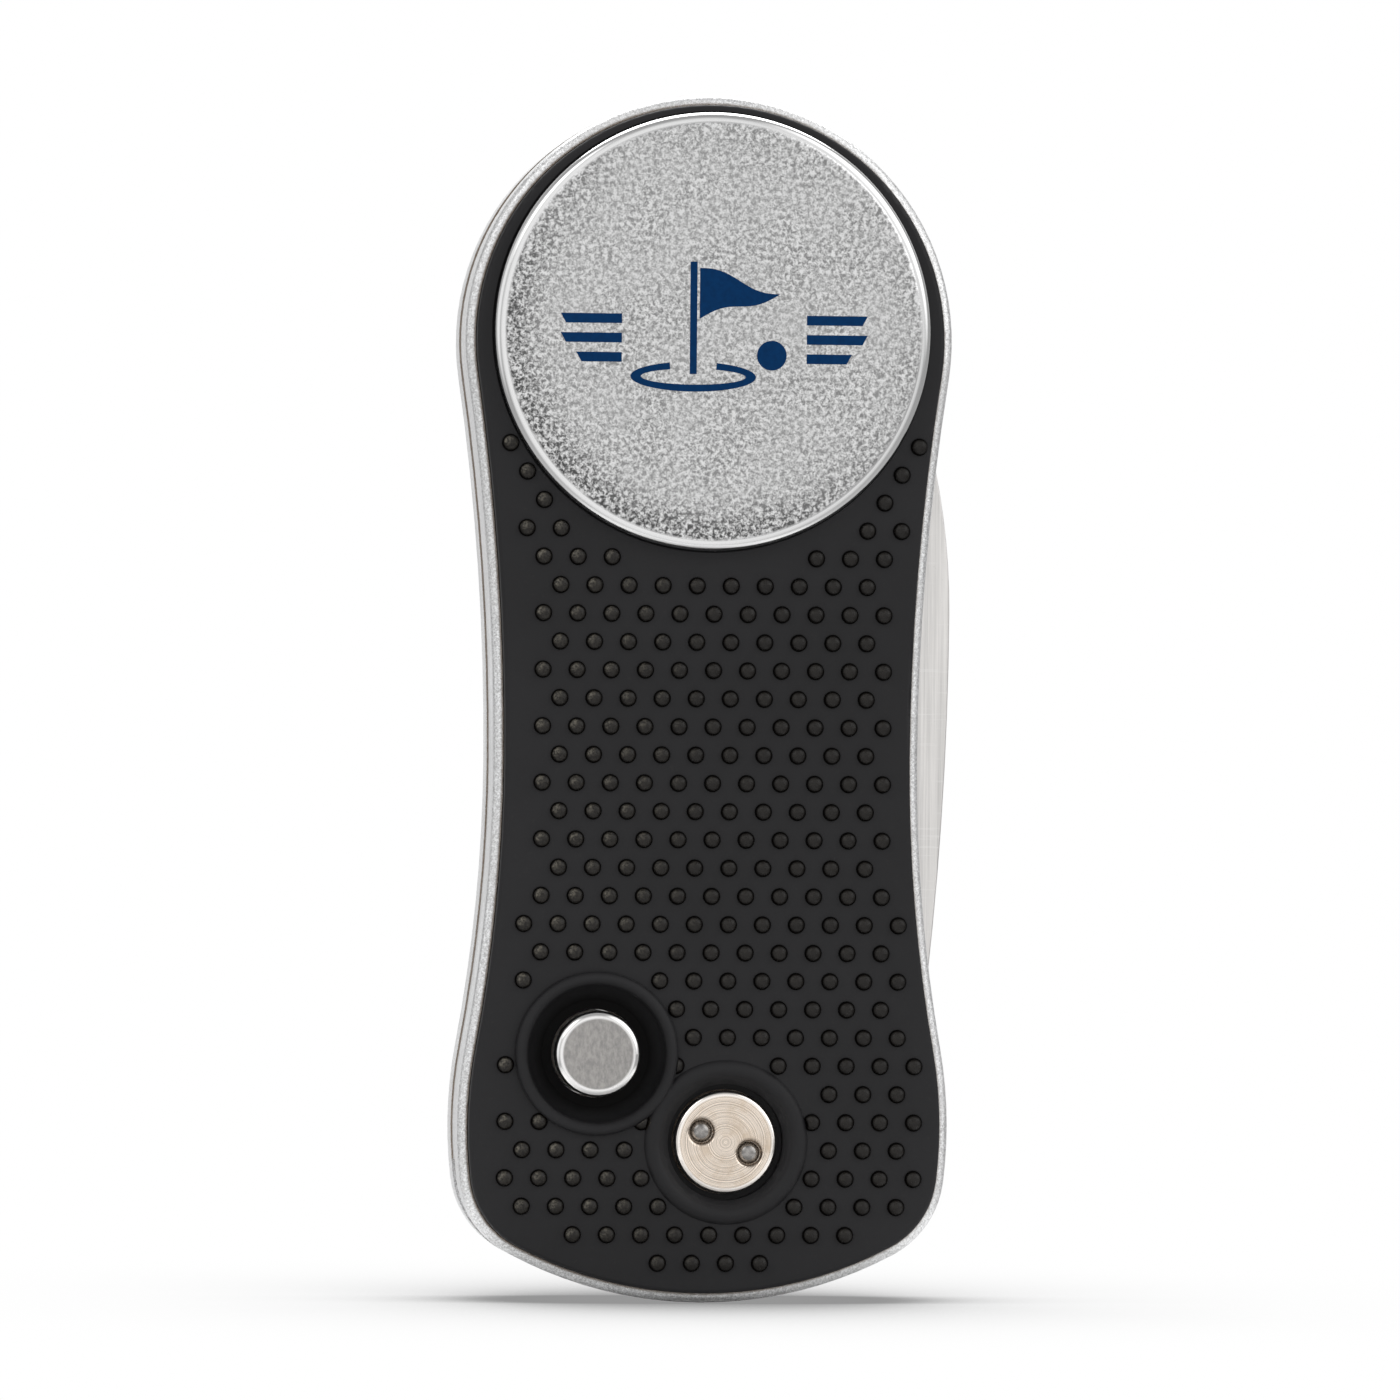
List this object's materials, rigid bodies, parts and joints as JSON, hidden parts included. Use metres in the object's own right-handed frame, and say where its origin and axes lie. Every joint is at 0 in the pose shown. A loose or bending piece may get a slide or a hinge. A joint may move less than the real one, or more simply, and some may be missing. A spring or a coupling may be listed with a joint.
{
  "type": "divot repair tool",
  "caption": "Folding golf divot repair tool: two-plate metal handle with nubbed rubber grips, spring-thrown two-tine fork, lock button and magnetic ball marker.",
  "frame": {"origin": "centre of the tool's own box at the lowest point of the handle", "axes": "+Z along the closed handle from the pivot end to the marker end; the marker side faces -Y; the fork opens from the +X side"},
  "size_m": [0.0284, 0.0104, 0.069],
  "materials": {
    "plate_aluminium": "bead-blasted satin",
    "grip_rubber": "moulded matt",
    "marker_plate": "sandblasted face with a polished edge",
    "magnet_nickel": "nickel plated",
    "fork_steel": "brushed along the tines",
    "pivot_steel": "turned",
    "washer_plastic": "smooth",
    "button_steel": "ground end with a polished edge",
    "spring_steel": "drawn wire",
    "hardware_steel": "zinc plated"
  },
  "bodies": {
    "handle": {"front_frame": "plate_aluminium", "rear_frame": "plate_aluminium", "back_spacer": "plate_aluminium", "front_grip_pad": "grip_rubber", "rear_grip_pad": "grip_rubber", "marker_magnet": "magnet_nickel", "pivot_screw": "pivot_steel", "pivot_barrel": "pivot_steel", "thrust_washer_front": "washer_plastic", "thrust_washer_rear": "washer_plastic", "torsion_spring": "spring_steel", "button_spring": "spring_steel", "stop_pin": "hardware_steel", "assembly_screws": "hardware_steel", "dowel_pins": "hardware_steel"},
    "fork": {"fork": "fork_steel"},
    "lock_button": {"lock_button": "button_steel"},
    "ball_marker": {"ball_marker": "marker_plate"}
  },
  "joints": [
    {"name": "fork_swing", "type": "hinge", "parent": "handle", "child": "fork", "pos_m": [0.0011, 0.00041, 0.00922], "axis": [0, 1, 0], "range_deg": [0, 180], "deforming": ["torsion_spring"]},
    {"name": "button_press", "type": "slide", "parent": "handle", "child": "lock_button", "axis": [0, 1, 0], "range_m": [0, 0.0019], "stiffness_N_per_m": 300, "springref_m": -0.001, "deforming": ["button_spring"]},
    {"name": "marker_liftoff", "type": "slide", "parent": "handle", "child": "ball_marker", "axis": [0, -1, 0], "range_m": [0, 0.012]}
  ]
}
